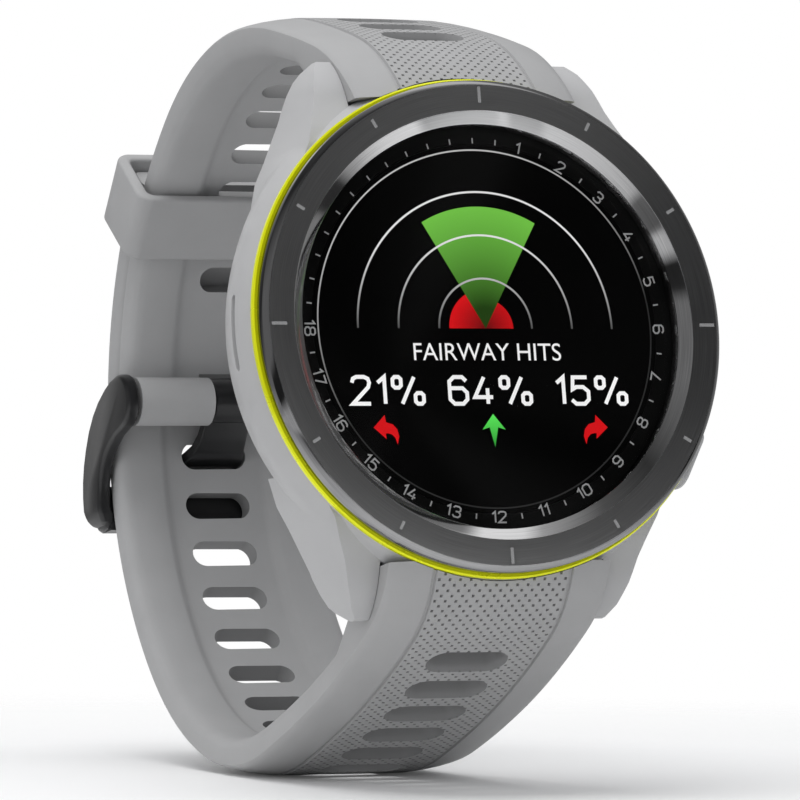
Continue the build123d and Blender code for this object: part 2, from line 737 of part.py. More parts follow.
# Buckle frame: two side arms with eyes, joined by a bar behind the long strap.
bar_foot = BAR_CENTRE[0] + (BAR_R**2 - (BAR_LOW - BAR_CENTRE[1]) ** 2) ** 0.5
bar_mid = BAR_CENTRE[0] + (BAR_R**2 - (-5.0 - BAR_CENTRE[1]) ** 2) ** 0.5
bar_head = BAR_CENTRE[0] + (BAR_R**2 - (-1.9 - BAR_CENTRE[1]) ** 2) ** 0.5
with BuildPart() as buckle_frame:
    with BuildSketch(SIDE):
        with BuildLine():
            Polyline((62.6, 6.65), (64.3, 6.4))
            ThreePointArc((64.3, 6.4), (70.5, 3.3), (73.7, -2.4))
            ThreePointArc((73.7, -2.4), (73.9, -5.2), (72.9, BAR_LOW))
            Line((72.9, BAR_LOW), (bar_foot, BAR_LOW))
            ThreePointArc((bar_foot, BAR_LOW), (bar_mid, -5.0), (bar_head, -1.9))
            Polyline((bar_head, -1.9), (67.8, -0.9), (61.6, 1.7), (62.6, 6.65))
        make_face()
        with Locations(BUCKLE_PIN):
            Circle(2.7)
            Circle(BUCKLE_PIN_R + FIT, mode=Mode.SUBTRACT)
    extrude(amount=BUCKLE_HALF, both=True)
    arm_in = BUCKLE_HALF - ARM_THICK
    block(-arm_in, arm_in, *box_corners(50, 90, -20, 20), mode=Mode.SUBTRACT)
    # The bar lies outside the long strap and just below the tongue.
    with BuildSketch(SIDE) as bar:
        with BuildLine():
            ThreePointArc((bar_foot, BAR_LOW), (bar_mid, -5.0), (bar_head, -1.9))
            Line((bar_head, -1.9), (73.75, -3.72))
            ThreePointArc((73.75, -3.72), (73.8, -5.5), (72.9, BAR_LOW))
            Line((72.9, BAR_LOW), (bar_foot, BAR_LOW))
        make_face()
    extrude(bar.sketch, amount=arm_in + 0.3, both=True)
    # The lower corners are round when seen from behind.
    with BuildSketch(level(55)):
        with Locations((0, BAR_LOW + 11)):
            RectangleRounded(2 * BUCKLE_HALF, 22, 3)
    extrude(amount=-25, mode=Mode.INTERSECT)
finish(buckle_frame, "buckle_frame")

# Pin through both arms, the strap's end and the tongue.
with BuildPart() as buckle_pin:
    rod(-BUCKLE_HALF + 0.2, BUCKLE_HALF - 0.2, BUCKLE_PIN, BUCKLE_PIN_R)
finish(buckle_pin, "buckle_pin")

# Tongue: an eye on the pin and a flat blade that widens toward its slot.
with BuildPart() as buckle_tongue:
    upper_side = tongue_side(TONGUE_THICK / 2 + 0.05)
    lower_side = tongue_side(-TONGUE_THICK / 2 - 0.05)
    block(-3.2, 3.2, *upper_side[1:], *reversed(lower_side[1:]))
    block(-2.4, 2.4, *upper_side[:2], *reversed(lower_side[:2]))
    rod(-2.4, 2.4, BUCKLE_PIN, 2.1)
    rod(-3, 3, BUCKLE_PIN, BUCKLE_PIN_R + FIT, mode=Mode.SUBTRACT)
finish(buckle_tongue, "buckle_tongue")
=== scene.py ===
import bpy
from math import cos, hypot, pi, radians, sin
from mathutils import Matrix, Vector


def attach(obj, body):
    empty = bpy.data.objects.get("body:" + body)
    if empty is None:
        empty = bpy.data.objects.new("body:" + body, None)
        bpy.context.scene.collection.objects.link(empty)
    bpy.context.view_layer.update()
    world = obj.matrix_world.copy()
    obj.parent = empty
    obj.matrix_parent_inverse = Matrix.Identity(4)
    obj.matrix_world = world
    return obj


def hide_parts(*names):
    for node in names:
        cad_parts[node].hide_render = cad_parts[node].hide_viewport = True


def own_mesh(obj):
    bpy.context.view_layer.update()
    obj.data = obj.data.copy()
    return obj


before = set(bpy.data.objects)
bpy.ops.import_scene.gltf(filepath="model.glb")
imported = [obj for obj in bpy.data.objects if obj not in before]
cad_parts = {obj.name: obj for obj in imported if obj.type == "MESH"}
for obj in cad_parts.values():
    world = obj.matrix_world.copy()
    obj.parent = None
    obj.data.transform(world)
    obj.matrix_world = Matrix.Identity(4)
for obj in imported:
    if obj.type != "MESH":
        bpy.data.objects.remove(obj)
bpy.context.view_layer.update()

# ---- studio: camera, floor and light ----------------------------------------------------
# A long lens looks at the dial from the wearer's left, a little above the table. The
# backdrop is white, the floor keeps a soft shadow, and the light comes mostly from above.

MM = 0.001
camera_ahead = Vector((0.40079, 0.91605, -0.01516))
camera_right = Vector((0.91617, -0.40073, 0.00714))
camera_place = Vector((-288.15, -669.84, 46.55)) * MM
camera = bpy.data.objects.new("camera", bpy.data.cameras.new("camera"))
bpy.context.collection.objects.link(camera)
camera.data.lens = 347.85
camera.data.sensor_width = 36
camera.data.clip_start = 0.05
camera_up = camera_right.cross(camera_ahead)
camera_turn = Matrix((camera_right, camera_up, -camera_ahead)).transposed().to_4x4()
camera.matrix_world = Matrix.Translation(camera_place) @ camera_turn
bpy.context.scene.camera = camera
bpy.context.scene.view_settings.view_transform = "Standard"


class Signal:
    """A node's output that adds and multiplies as a number does."""

    def __init__(self, tree, socket):
        self.tree = tree
        self.socket = socket

    def math(self, operation, *others):
        node = self.tree.nodes.new("ShaderNodeMath")
        node.operation = operation
        for slot, value in zip(node.inputs, (self, *others)):
            plug(self.tree, slot, value)
        return Signal(self.tree, node.outputs[0])

    def __add__(self, other):
        return self.math("ADD", other)

    __radd__ = __add__

    def __mul__(self, other):
        return self.math("MULTIPLY", other)

    __rmul__ = __mul__

    def __sub__(self, other):
        return self.math("SUBTRACT", other)

    def __rsub__(self, other):
        return (self * -1) + other


def plug(tree, slot, value):
    """Link a signal to a socket, or set the socket's own value."""
    if isinstance(value, Signal):
        tree.links.new(value.socket, slot)
    else:
        slot.default_value = value


def add_node(tree, kind, settings=None, output=0, **values):
    """Add a node, set it up, then feed its sockets, named with _ for a space or inputN for a number."""
    node = tree.nodes.new("ShaderNode" + kind)
    for name, value in (settings or {}).items():
        if name == "stops":
            while len(node.color_ramp.elements) < len(value):
                node.color_ramp.elements.new(0.5)
            for element, (at, level) in zip(node.color_ramp.elements, value):
                element.position = at
                element.color = (level, level, level, 1)
        else:
            setattr(node, name, value)
    for name, value in values.items():
        name = name.replace("_", " ")
        key = int(name[5:]) if name.startswith("input") else name
        plug(tree, node.inputs[key], value)
    return Signal(tree, node.outputs[output])


world = bpy.data.worlds.new("studio")
bpy.context.scene.world = world
world.use_nodes = True
sky = world.node_tree
sky.nodes.clear()
# Softboxes and black flags stand in a ring about the way the dial faces the camera.
MIRROR_WAY = Vector((0.4, -0.855, 0.33)).normalized()
across_way = (Vector((1, 0, 0)) - MIRROR_WAY * MIRROR_WAY.x).normalized()
direction = add_node(sky, "TexCoord")
ring_x, ring_y, ring_z = [
    add_node(sky, "VectorMath", {"operation": "DOT_PRODUCT"}, 1, input0=direction, input1=axis)
    for axis in (across_way, MIRROR_WAY.cross(across_way), MIRROR_WAY)
]
round_about = ring_y.math("ARCTAN2", ring_x) * (0.5 / pi) + 0.5
SOFTBOXES = [(0.014, 0.38), (0.028, 0.05), (0.051, 0.04), (0.064, 0.95), (0.08, 0.95), (0.087, 0.2),
             (0.117, 0.22), (0.127, 0.75), (0.176, 0.8), (0.226, 0.7), (0.236, 0.08), (0.262, 0.08),
             (0.272, 0.9), (0.279, 0.35), (0.292, 0.3), (0.349, 0.08), (0.359, 1), (0.389, 0.9),
             (0.431, 0.35), (0.442, 0.04), (0.464, 0.04), (0.471, 0.3), (0.509, 0.35), (0.626, 0.15),
             (0.67, 0.25), (0.682, 1), (0.714, 0.95), (0.731, 0.45), (0.791, 0.12), (0.852, 0.06),
             (0.879, 0.15), (0.945, 0.38)]
boxes = add_node(sky, "ValToRGB", {"stops": SOFTBOXES}, Fac=round_about)
# The flat of the dial mirrors the dark middle of the ring.
OPEN_WAY = [(0.0, 1.0), (0.62, 0.95), (0.80, 0.22), (1.0, 0.15)]
open_way = add_node(sky, "ValToRGB", {"stops": OPEN_WAY}, Fac=ring_z)
mirror_light = add_node(
    sky, "Mix", {"data_type": "RGBA", "blend_type": "MULTIPLY"}, 2, Factor=1.0, input_6=boxes, input_7=open_way
)
rays = sky.nodes.new("ShaderNodeLightPath")
seen = Signal(sky, rays.outputs["Is Camera Ray"]) + Signal(sky, rays.outputs["Is Transmission Ray"])
shiny = Signal(sky, rays.outputs["Is Glossy Ray"])
soft_light = add_node(sky, "Background", Color=(0.94, 0.95, 0.97, 1), Strength=0.51)
white_light = add_node(sky, "Background", Color=(1, 1, 1, 1), Strength=1.0)
box_light = add_node(sky, "Background", Color=mirror_light, Strength=1.0)
lit = add_node(sky, "MixShader", input0=shiny, input1=soft_light, input2=box_light)
final = add_node(sky, "MixShader", input0=seen, input1=lit, input2=white_light)
world_out = sky.nodes.new("ShaderNodeOutputWorld")
sky.links.new(final.socket, world_out.inputs[0])


LIT_SPOT = Vector((0, 0, 0.03))


def lamp(name, at, size, power):
    """A square softbox at a place in metres, aimed at the watch and left out of reflections."""
    light = bpy.data.lights.new(name, "AREA")
    light.size = size
    light.energy = power
    holder = bpy.data.objects.new(name, light)
    bpy.context.collection.objects.link(holder)
    holder.location = at
    holder.rotation_euler = (LIT_SPOT - Vector(at)).to_track_quat("-Z", "Y").to_euler()
    holder.visible_glossy = False


lamp("overhead", (-0.10, -0.05, 0.60), 0.5, 2.2)
lamp("left_fill", (-0.55, -0.25, 0.25), 0.4, 0.65)


def deselect():
    """Nothing selected and nothing active."""
    bpy.ops.object.select_all(action="DESELECT")
    bpy.context.view_layer.objects.active = None


deselect()
FLOOR_R = 0.16
FLOOR_FADE = [(0.0, 1.0), (0.35, 1.0), (0.9, 0.0)]
FLOOR_GLOW = 0.04
bpy.ops.mesh.primitive_circle_add(vertices=96, radius=FLOOR_R, fill_type="NGON")
floor = bpy.context.object
floor.name = "floor"
floor_finish = bpy.data.materials.new("floor_paper")
floor_finish.use_nodes = True
paper = floor_finish.node_tree
paper.nodes.clear()
spot = add_node(paper, "TexCoord", None, 3)
away = add_node(paper, "VectorMath", {"operation": "LENGTH"}, 1, Vector=spot)
fade = add_node(paper, "ValToRGB", {"stops": FLOOR_FADE}, Fac=away * (1 / FLOOR_R))
sheet_white = add_node(paper, "BsdfDiffuse", Color=(0.92, 0.92, 0.92, 1))
paper_rays = paper.nodes.new("ShaderNodeLightPath")
looked_at = Signal(paper, paper_rays.outputs["Is Camera Ray"])
glow = add_node(paper, "Emission", Color=(1, 1, 1, 1), Strength=looked_at * FLOOR_GLOW)
bright = add_node(paper, "AddShader", input0=sheet_white, input1=glow)
clear = add_node(paper, "BsdfTransparent")
blended = add_node(paper, "MixShader", input0=fade, input1=clear, input2=bright)
paper_out = paper.nodes.new("ShaderNodeOutputMaterial")
paper.links.new(blended.socket, paper_out.inputs[0])
floor.data.materials.append(floor_finish)


# ---- long strap -------------------------------------------------------------------------
# Moulded silicone, 22 mm wide. A dotted panel runs down the middle of its outer face between
# two grooves, a shallow channel down its wrist side, and holes with soft rims go through it.

LEAN = radians(11)
DIAL = Vector((-0.5, -33.844, 42.896))  # centre of the bezel's face, in mm
# Start (depth, height), heading in degrees, then arcs as length and turn in degrees.
LOWER_PATH = ((3.1, -22.2), -57.9, [(7, 34), (16, 10), (12, 5), (13, 27), (18, 33), (25, 41), (29, 45)])
LOWER_END = 120.0
CELL = 0.52  # pitch of the dots' grid
PANEL_CELLS = 25
PANEL_TOP = 0.97
PANEL_CROWN = 0.07
PIT_EDGE = 0.125
PIT_DEPTH = 0.2
LEAD = 3 * CELL  # extra length at the case, trimmed to its round collar


def place(x, depth, height):
    """Row-frame position in metres of a spot across the watch, behind the bezel and up the dial."""
    forward = depth * cos(LEAN) + height * sin(LEAN)
    upward = height * cos(LEAN) - depth * sin(LEAN)
    return (DIAL + Vector((x, forward, upward))) * MM


def along(path, distance, inward=0.0):
    """Spot and heading at a distance along a path of tangent arcs, shifted toward the wrist."""
    (x, y), heading, runs = path
    for length, turn in runs:
        part = min(distance, length) if distance > 0 or (length, turn) == runs[0] else 0
        radius = length / radians(turn)
        after = heading + turn * part / length
        x += radius * (sin(radians(after)) - sin(radians(heading)))
        y -= radius * (cos(radians(after)) - cos(radians(heading)))
        heading = after
        distance -= part
        if distance <= 0:
            break
    angle = radians(heading)
    x += distance * cos(angle)
    y += distance * sin(angle)
    return (x - inward * sin(angle), y + inward * cos(angle)), heading


class Finish:
    """A material round one principled shader, whose pattern follows the object's own coordinates."""

    def __init__(self, name, **fixed):
        self.material = bpy.data.materials.new(name)
        self.material.use_nodes = True
        self.tree = self.material.node_tree
        self.shader = self.tree.nodes["Principled BSDF"]
        self.where = self.add("TexCoord", None, 3)
        self.set(**fixed)

    def add(self, kind, settings=None, output=0, **values):
        return add_node(self.tree, kind, settings, output, **values)

    def set(self, **values):
        for name, value in values.items():
            plug(self.tree, self.shader.inputs[name.replace("_", " ")], value)

    def noise(self, scale, detail):
        return self.add("TexNoise", None, 0, Vector=self.where, Scale=scale, Detail=detail)

    def shades(self, factor, dark, light):
        """A colour between two, by a signal."""
        return self.add(
            "Mix", {"data_type": "RGBA"}, 2, Factor=factor, input_6=(*dark, 1), input_7=(*light, 1)
        )

    def bump(self, height, distance, strength=1.0):
        self.set(Normal=self.add("Bump", None, 0, Height=height, Distance=distance, Strength=strength))


def mottled(name, dark, light, rough, scale, grain, depth, **fixed):
    """A finish with slightly uneven colour and roughness and a fine surface grain."""
    made = Finish(name, **fixed)
    patches = made.noise(scale, 4.0)
    fine = made.noise(grain, 2.0)
    made.set(Base_Color=made.shades(patches * 0.7 + fine * 0.3, dark, light))
    made.set(Roughness=patches * (rough[1] - rough[0]) + rough[0])
    made.bump(fine, depth)
    return made.material


silicone = mottled(
    "strap_silicone", (0.38, 0.38, 0.383), (0.45, 0.45, 0.453), (0.5, 0.62), 260, 9000, 0.00001,
    Specular_IOR_Level=0.4,
)
# A darker copy of the silicone for the pits: painted shade in the pits, not a colour of its own.
silicone_dot_painted_shade = mottled(
    "strap_dot_painted_shade", (0.20, 0.20, 0.20), (0.25, 0.25, 0.25), (0.7, 0.8), 260, 9000, 0.00001
)
# A darker copy of the silicone for the slots' walls: painted shade inside the slots, not a colour of its own.
silicone_wall_painted_shade = mottled(
    "slot_wall_painted_shade", (0.24, 0.24, 0.242), (0.29, 0.29, 0.292), (0.6, 0.7), 260, 9000, 0.00001
)


def use_only(piece):
    """One piece selected and active."""
    deselect()
    piece.select_set(True)
    bpy.context.view_layer.objects.active = piece


def face_outward(piece):
    """All faces of a piece turned to point outward."""
    use_only(piece)
    bpy.ops.object.mode_set(mode="EDIT")
    bpy.ops.mesh.select_all(action="SELECT")
    bpy.ops.mesh.normals_make_consistent(inside=False)
    bpy.ops.object.mode_set(mode="OBJECT")


def edit_points(piece, move):
    """Move every point of a mesh by a function of its place."""
    for point in piece.data.vertices:
        point.co = move(point.co)
    piece.data.update()


def pick(piece, wanted, kind="vertices"):
    """Leave edit mode, select by a test and come back."""
    bpy.ops.object.mode_set(mode="OBJECT")
    for group in (piece.data.vertices, piece.data.edges, piece.data.polygons):
        group.foreach_set("select", [False] * len(group))
    for item in getattr(piece.data, kind):
        item.select = wanted(item)
    bpy.ops.object.mode_set(mode="EDIT")


# Half sections of the strap beyond the panel, as half width and height above the border.
STRAP_SIDE = [(6.58, 0.66), (6.85, 0.64), (6.98, 0.84), (7.9, 0.74), (9.2, 0.52), (10.2, 0.28), (10.75, 0.1),
              (10.97, -0.12), (11.0, -0.5), (10.95, -1.6), (10.75, -2.15), (10.3, -2.5), (9.6, -2.68),
              (8.0, -2.7), (6.4, -2.68), (6.0, -2.55), (5.6, -2.2), (5.3, -2.0), (4.9, -1.95), (2.6, -1.95),
              (0.0, -1.95)]


def flat_strap(name, length):
    """A strap laid flat and straight: x along it, y across it, z out of its outer face."""
    deselect()
    rows = round((length + LEAD) / CELL)
    bpy.ops.mesh.primitive_grid_add(x_subdivisions=rows, y_subdivisions=PANEL_CELLS, size=1)
    strap = bpy.context.object
    strap.name = name
    panel_half = PANEL_CELLS * CELL / 2
    edit_points(strap, lambda p: Vector(((p.x + 0.5) * rows * CELL - LEAD, p.y * 2 * panel_half, 0)))
    # Every other cell of the panel becomes a small pit.
    bpy.ops.object.mode_set(mode="EDIT")
    bpy.ops.mesh.select_mode(type="FACE")
    pick(strap, lambda f: round(f.center.x / CELL - 0.5) % 2 == round(f.center.y / CELL + 12) % 2
         and f.center.x < length - 1, "polygons")
    bpy.ops.mesh.inset(thickness=PIT_EDGE, use_individual=True)
    bpy.ops.mesh.poke(offset=-PIT_DEPTH)
    bpy.ops.object.mode_set(mode="OBJECT")
    for material in (silicone, silicone_dot_painted_shade, silicone_wall_painted_shade):
        strap.data.materials.append(material)
    # The pits' faces take the darker dot finish, which is painted shade in the pits.
    for face in strap.data.polygons:
        face.material_index = 1 if face.select else 0
    edit_points(strap, lambda p: p + Vector((0, 0, PANEL_TOP - PANEL_CROWN * (p.y / panel_half) ** 2)))
    # The borders, sides and wrist side are drawn out of the panel's two long edges.
    bpy.ops.object.mode_set(mode="EDIT")
    bpy.ops.mesh.select_mode(type="EDGE")
    spots = strap.data.vertices
    pick(strap, lambda e: all(abs(abs(spots[v].co.y) - panel_half) < 1e-4 for v in e.vertices), "edges")
    for half, level in STRAP_SIDE:
        bpy.ops.mesh.extrude_edges_move()
        bpy.ops.object.mode_set(mode="OBJECT")
        for point in strap.data.vertices:
            if point.select:
                point.co.y = half if point.co.y > 0 else -half
                point.co.z = level
        bpy.ops.object.mode_set(mode="EDIT")
    bpy.ops.mesh.select_all(action="SELECT")
    bpy.ops.mesh.remove_doubles(threshold=0.0005)
    for end in (-LEAD, rows * CELL - LEAD):
        bpy.ops.mesh.select_mode(type="VERT")
        pick(strap, lambda v: abs(v.co.x - end) < 1e-3)
        bpy.ops.mesh.edge_face_add()
    bpy.ops.mesh.select_all(action="SELECT")
    bpy.ops.mesh.normals_make_consistent(inside=False)
    bpy.ops.object.mode_set(mode="OBJECT")
    return strap


SLOT_WIDE = 7.2
SLOT_TALL = 2.8
FIRST_SLOT = 11.0


def stadium(name, at, levels, closed):
    """A round-ended ring or plug about a slot. Each level is how far it stands off and its height."""
    deselect()
    fill = "NOTHING" if closed else "NGON"
    bpy.ops.mesh.primitive_circle_add(vertices=28, radius=1, fill_type=fill)
    made = bpy.context.object
    made.name = name
    straight = (SLOT_WIDE - SLOT_TALL) / 2

    def outline(point, off, level):
        side = straight if point.y > 1e-6 else -straight
        way = Vector((point.x - at, point.y - (straight if point.y > 0 else -straight), 0)).normalized()
        radius = SLOT_TALL / 2 + off
        return Vector((at + way.x * radius, way.y * radius + side, level))

    off, level = levels[0]
    for point in made.data.vertices:
        shift = straight if point.co.y > 1e-6 else -straight
        way = Vector((point.co.x, point.co.y, 0)).normalized()
        point.co = Vector((at + way.x * (SLOT_TALL / 2 + off), way.y * (SLOT_TALL / 2 + off) + shift, level))
    bpy.ops.object.mode_set(mode="EDIT")
    bpy.ops.mesh.select_all(action="SELECT")
    for off, level in levels[1:] + (levels[:1] if closed else []):
        if closed:
            bpy.ops.mesh.extrude_edges_move()
        else:
            bpy.ops.mesh.extrude_region_move()
        bpy.ops.object.mode_set(mode="OBJECT")
        for point in made.data.vertices:
            if point.select:
                point.co = outline(point.co, off, level)
        bpy.ops.object.mode_set(mode="EDIT")
    bpy.ops.mesh.select_all(action="SELECT")
    bpy.ops.mesh.remove_doubles(threshold=0.0005)
    bpy.ops.mesh.normals_make_consistent(inside=False)
    bpy.ops.object.mode_set(mode="OBJECT")
    return made


def join(pieces):
    """Join pieces into the first."""
    deselect()
    for piece in pieces:
        piece.select_set(True)
    bpy.context.view_layer.objects.active = pieces[0]
    bpy.ops.object.join()
    return pieces[0]


def carve(piece, tool, operation="DIFFERENCE"):
    """Cut one closed mesh with another, or add it, and remove the tool."""
    use_only(piece)
    change = piece.modifiers.new("carve", "BOOLEAN")
    change.operation = operation
    change.object = tool
    change.solver = "EXACT"
    bpy.ops.object.modifier_apply(modifier=change.name)
    bpy.data.objects.remove(tool)


SLOT_MOUTH = [(0.0, 0.25), (0.2, 0.6), (0.33, 0.84), (0.42, 0.97), (0.5, 1.3)]
RIM = [(0.12, -1.8), (0.12, -2.16), (0.22, -2.3), (0.4, -2.34), (0.62, -2.26), (0.85, -2.02), (0.95, -1.8)]


def punch_slots(strap, places):
    """Cut the slots, the first one blind, and set a soft rim on the wrist side round each of the others."""
    plugs = []
    rims = []
    for index, at in enumerate(places):
        floor_level = [(0.0, -4.0)] if index else [(-0.1, -0.75), (0.0, -0.65)]
        plugs.append(stadium("plug", at, floor_level + SLOT_MOUTH, False))
        if index:
            rims.append(stadium("rim", at, RIM, True))
    plugs = join(plugs)
    for material in (silicone, silicone_dot_painted_shade, silicone_wall_painted_shade):
        plugs.data.materials.append(material)
    # The plugs' faces become the slots' walls and take the darker wall finish, which is painted shade inside
    # the slots.
    for face in plugs.data.polygons:
        face.material_index = 2
    carve(strap, plugs)
    return join([strap] + rims)


def ease(value, low, high):
    """0 below low, 1 above high, smooth between."""
    part = min(max((value - low) / (high - low), 0), 1)
    return part * part * (3 - 2 * part)


TAPER = 0.064  # share of the width lost between two distances along the strap
TAPER_RUN = (28, 76)
HEEL_END = 15
HEEL_SLOPE = 0.36


def wrap(strap, path, start, way, flat_after):
    """Bend a flat strap onto its path, with its taper, its thick heel and its flatter free end."""

    def bent(point):
        across = point.y * (1 - TAPER * ease(point.x, *TAPER_RUN))
        level = point.z
        if level > 0:
            level *= 1 - 0.9 * ease(point.x, *flat_after)
        if level < -0.6 and point.x < HEEL_END:
            level -= (HEEL_END - point.x) * HEEL_SLOPE * min(1, (-0.6 - level) / 1.2)
        (depth, height), heading = along(path, start + way * point.x, -level)
        return place(across * way, depth, height)

    edit_points(strap, bent)


def row_box(name, half, depth_low, depth_high, height_low, height_high):
    """A block across the watch, drawn in the side view."""
    deselect()
    bpy.ops.mesh.primitive_cube_add(size=2)
    block = bpy.context.object
    block.name = name
    for point in block.data.vertices:
        depth = depth_high if point.co.y > 0 else depth_low
        height = height_high if point.co.z > 0 else height_low
        point.co = place(half * point.co.x, depth, height)
    return block


def row_rod(name, half, depth, height, radius):
    """A round rod across the watch."""
    deselect()
    bpy.ops.mesh.primitive_cylinder_add(vertices=48, radius=1, depth=2)
    rod = bpy.context.object
    rod.name = name
    for point in rod.data.vertices:
        point.co = place(half * point.co.z, depth + radius * point.co.x, height + radius * point.co.y)
    face_outward(rod)
    return rod


def turned(name, profile):
    """A ring turned about the dial's axis from a closed profile of radius and depth."""
    deselect()
    bpy.ops.mesh.primitive_circle_add(vertices=len(profile), radius=1, fill_type="NOTHING")
    ring = bpy.context.object
    ring.name = name
    for point, (radius, depth) in zip(ring.data.vertices, profile):
        point.co = Vector((radius, 0, depth))
    bpy.ops.object.mode_set(mode="EDIT")
    bpy.ops.mesh.select_all(action="SELECT")
    bpy.ops.mesh.spin(steps=288, angle=2 * pi, center=(0, 0, 0), axis=(0, 0, 1))
    bpy.ops.mesh.select_all(action="SELECT")
    bpy.ops.mesh.remove_doubles(threshold=0.0005)
    bpy.ops.mesh.normals_make_consistent(inside=False)
    bpy.ops.object.mode_set(mode="OBJECT")
    edit_points(ring, lambda p: place(p.x, p.z, p.y))
    face_outward(ring)
    return ring


# Radius and depth of the round hollow that clears the case, then the cuts in the heel as
# half width, depths and heights: the case's seat, then the pin's mouth, and the latch's
# pocket and window.
COLLAR = [(0.0, -14.0), (23.06, -14.0), (23.06, 2.4), (23.72, 4.5), (23.72, 5.9), (0.0, 5.9)]
HEEL_CUTS = {
    "seat": (14, -5.0, 15.0, 8.0, 21.3),
    "mouth": (13, 8.6, 14.0, 22.45, 24.35),
    "pocket": (4.1, 9.75, 11.0, 22.3, 26.2),
    "window": (2.5, 10.8, 17.0, 23.9, 26.2),
}
LUG_PIN = (8.6, 23.4)
PIN_SEAT_R = 0.95


def fit_to_case(strap, side):
    """Cut a strap's heel to the case, its lug pin and its latch."""
    carve(strap, turned("collar", COLLAR))
    for name, (half, depth_low, depth_high, near, far) in HEEL_CUTS.items():
        low, high = sorted((side * near, side * far))
        carve(strap, row_box(name, half, depth_low, depth_high, low, high))
        if name == "mouth":
            carve(strap, row_rod("pin_seat", half, LUG_PIN[0], side * LUG_PIN[1], PIN_SEAT_R))


def smooth(piece, angle=38):
    """Smooth shading, with sharp edges kept."""
    use_only(piece)
    bpy.ops.object.shade_smooth_by_angle(angle=radians(angle))


LOWER_PITCH = 5.3
LOWER_SLOTS = 17
lower = flat_strap("long_strap", LOWER_END)
lower = punch_slots(lower, [FIRST_SLOT + LOWER_PITCH * n for n in range(LOWER_SLOTS)])
wrap(lower, LOWER_PATH, 0.0, 1, (46, 66))
fit_to_case(lower, -1)
smooth(lower)
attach(lower, "watch")
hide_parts("lower_strap")

# ---- short strap ------------------------------------------------------------------------
# The other half of the strap, moulded the same way. Its end is rolled round the buckle's pin
# and notched for the tongue.

BACK_R = 29 / radians(45)
BACK_CENTRE = along(LOWER_PATH, LOWER_END, BACK_R)[0]
UPPER_R = BACK_R - 2.9
UPPER_FROM = radians(12)
UPPER_PATH = (
    (BACK_CENTRE[0] + UPPER_R * cos(UPPER_FROM), BACK_CENTRE[1] + UPPER_R * sin(UPPER_FROM)),
    102,
    [(UPPER_R * radians(39.3), 39.3), (6.5, 7.5), (12.2, 21.8), (16.2, 27.1), (10.4, 4.9), (11.4, 28.5)],
)
UPPER_END = sum(length for length, turn in UPPER_PATH[2])
BUCKLE_PIN = (62.9, 4.0)
ROLL_HALF = 10.25
# Depth and height of the wedge's corners, by whether they lie behind and above.
WEDGE = {(0, 0): (60.75, 3.75), (1, 0): (65.2, 3.9), (1, 1): (66.55, 6.4), (0, 1): (63.95, 5.8)}

UPPER_PITCH = 5.2
UPPER_SLOTS = 12
upper = flat_strap("short_strap", UPPER_END)
upper = punch_slots(upper, [FIRST_SLOT + UPPER_PITCH * n for n in range(UPPER_SLOTS)])
wrap(upper, UPPER_PATH, UPPER_END, -1, (40, 54))
fit_to_case(upper, 1)
carve(upper, row_rod("pin_roll", ROLL_HALF, *BUCKLE_PIN, 2.35), "UNION")
wedge = row_box("pin_wedge", ROLL_HALF, 60, 66, 3, 6)
for corner in wedge.data.vertices:
    spot = corner.co / MM - DIAL
    behind = spot.dot(Vector((0, cos(LEAN), -sin(LEAN)))) > 63
    above = spot.dot(Vector((0, sin(LEAN), cos(LEAN)))) > 4.5
    corner.co = place(spot.x, *WEDGE[(behind, above)])
carve(upper, wedge, "UNION")
carve(upper, row_box("notch", 2.6, 58.9, 67.9, 0.0, 7.0))
smooth(upper)
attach(upper, "watch")
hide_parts("upper_strap")

# ---- keeper -----------------------------------------------------------------------------
# A stiff loop of the strap's silicone, moulded in one piece. It slides along the short strap
# and holds the free end down.


def remodel(node, name, width):
    """A copy of a CAD node as one closed mesh, with its sharp edges rounded."""
    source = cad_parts[node]
    piece = source.copy()
    piece.data = source.data.copy()
    piece.name = name
    bpy.context.collection.objects.link(piece)
    held = source.matrix_world.copy()
    piece.parent = None
    piece.matrix_world = Matrix.Identity(4)
    piece.data.transform(held)
    piece.data.materials.clear()
    use_only(piece)
    bpy.ops.object.mode_set(mode="EDIT")
    bpy.ops.mesh.select_mode(type="VERT")
    bpy.ops.mesh.select_all(action="SELECT")
    bpy.ops.mesh.remove_doubles(threshold=0.00001)
    bpy.ops.mesh.dissolve_limited(angle_limit=radians(1.0))
    bpy.ops.mesh.normals_make_consistent(inside=False)
    bpy.ops.object.mode_set(mode="OBJECT")
    soften = piece.modifiers.new("round", "BEVEL")
    soften.width = width * MM
    soften.segments = 3
    soften.limit_method = "ANGLE"
    soften.angle_limit = radians(30)
    soften.use_clamp_overlap = True
    bpy.ops.object.modifier_apply(modifier=soften.name)
    smooth(piece, 32)
    return piece


def dress(node, material):
    """Give a CAD node its finish."""
    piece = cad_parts[node]
    piece.data.materials.clear()
    piece.data.materials.append(material)


def settle(piece, body, node, material):
    """Put a finished piece on its body, in a CAD node's place and slot."""
    piece.data.materials.append(material)
    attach(piece, body)
    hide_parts(node)


settle(remodel("keeper", "keeper_loop", 0.3), "keeper", "keeper", silicone)

# ---- buckle -----------------------------------------------------------------------------
# A die-cast frame with a satin black coat, a steel pin through the strap's rolled end, and a
# flat tongue bent down into the long strap's slot.

coat = mottled(
    "buckle_coat", (0.006, 0.006, 0.007), (0.016, 0.016, 0.017), (0.28, 0.4), 400, 6000, 0.000004,
    Specular_IOR_Level=0.5, Coat_Weight=0.2, Coat_Roughness=0.2,
)
BUCKLE_HALF = 12.0
CORNER = 3.0  # radius of the frame's lower corners, which start at a height
CORNER_TOP = -4.9


